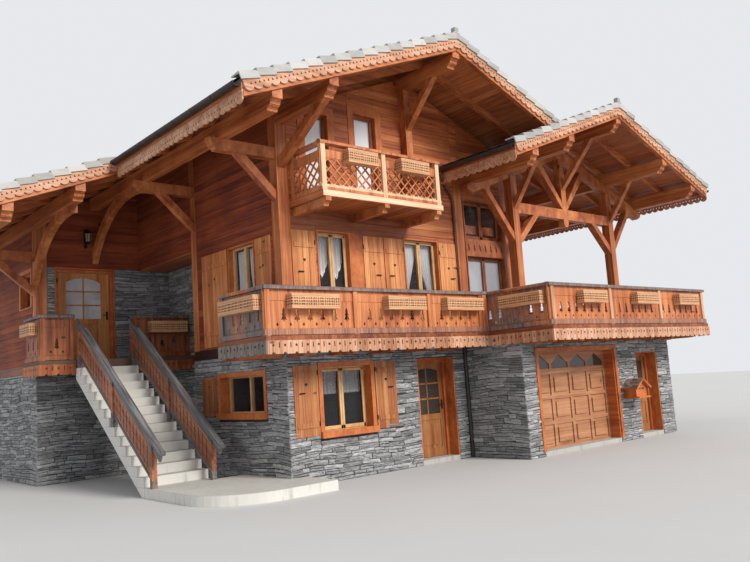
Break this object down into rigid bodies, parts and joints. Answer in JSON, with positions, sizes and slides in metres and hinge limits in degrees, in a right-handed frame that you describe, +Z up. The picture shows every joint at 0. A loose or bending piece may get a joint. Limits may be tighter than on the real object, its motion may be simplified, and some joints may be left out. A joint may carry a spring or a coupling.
{
  "type": "alpine chalet",
  "caption": "Alpine chalet with stone ground storey, timber upper storeys, carved balconies, outside stair and a roofed terrace over the garage.",
  "frame": {"origin": "ground level under the middle of the main house", "axes": "+X to the right along the gabled front, +Y from the front to the back, +Z up"},
  "size_m": [17.355, 14.3025, 8.67],
  "materials": {
    "concrete": "matt cast concrete",
    "stone": "rough dry laid",
    "floor_wood": "planed boards",
    "wall_wood": "satin varnish",
    "beam_wood": "satin varnish",
    "pale_wood": "weathered varnish",
    "rail_wood": "weathered varnish",
    "grey_wood": "weathered, bare",
    "slate": "matt",
    "gutter_metal": "satin",
    "joinery": "satin varnish",
    "glass": "clear",
    "shutter_wood": "satin varnish",
    "box_wood": "oiled",
    "iron": "black",
    "door_wood": "satin varnish",
    "garage_wood": "satin varnish"
  },
  "bodies": {
    "house": {"ground_slab": "concrete", "front_stone_walls": "stone", "side_stone_walls": "stone", "back_stone_walls": "stone", "stone_lintels": "stone", "first_floor": "floor_wood", "terrace_floor": "concrete", "attic_floor": "floor_wood", "front_timber_wall": "wall_wood", "left_timber_walls": "wall_wood", "right_timber_wall": "wall_wood", "back_timber_wall": "wall_wood", "wing_timber_walls": "wall_wood", "corner_posts": "beam_wood", "balcony_deck": "floor_wood", "upper_deck": "floor_wood", "landing": "concrete", "deck_joists": "beam_wood", "deck_skirts": "pale_wood", "front_balustrades": "rail_wood", "side_balustrades": "grey_wood", "upper_balustrade": "rail_wood", "upper_side_balustrades": "rail_wood", "landing_balustrades": "rail_wood", "landing_side_balustrade": "rail_wood", "stair_flight": "concrete", "bottom_step": "concrete", "stair_balustrades": "rail_wood", "purlins": "beam_wood", "rafters": "beam_wood", "left_roof": "slate", "right_roof": "slate", "terrace_left_roof": "slate", "terrace_right_roof": "slate", "verge_boards": "pale_wood", "gutters": "gutter_metal", "terrace_posts": "beam_wood", "terrace_truss": "beam_wood", "braces": "beam_wood", "gable_frame": "beam_wood", "window_frames": "joinery", "window_glass": "glass", "shutters": "shutter_wood", "flower_boxes": "box_wood", "door_frames": "joinery", "door_pins": "iron", "garage_door": "garage_wood", "letter_box": "joinery"},
    "front_door_leaf": {"front_door": "door_wood", "front_door_fittings": "iron", "front_door_glass": "glass"},
    "side_door_leaf": {"side_door": "door_wood", "side_door_fittings": "iron", "side_door_glass": "glass"},
    "entry_door_leaf": {"entry_door": "door_wood", "entry_door_fittings": "iron", "entry_door_glass": "glass"}
  },
  "joints": [
    {"name": "front_door_hinge", "type": "hinge", "parent": "house", "child": "front_door_leaf", "pos_m": [0.005, -5.031, 1.1], "axis": [0, 0, 1], "range_deg": [0, 90]},
    {"name": "side_door_hinge", "type": "hinge", "parent": "house", "child": "side_door_leaf", "pos_m": [5.893, -6.621, 1.1], "axis": [0, 0, 1], "range_deg": [0, 90]},
    {"name": "entry_door_hinge", "type": "hinge", "parent": "house", "child": "entry_door_leaf", "pos_m": [-5.293, 1.099, 3.7], "axis": [0, 0, 1], "range_deg": [0, 90]}
  ]
}
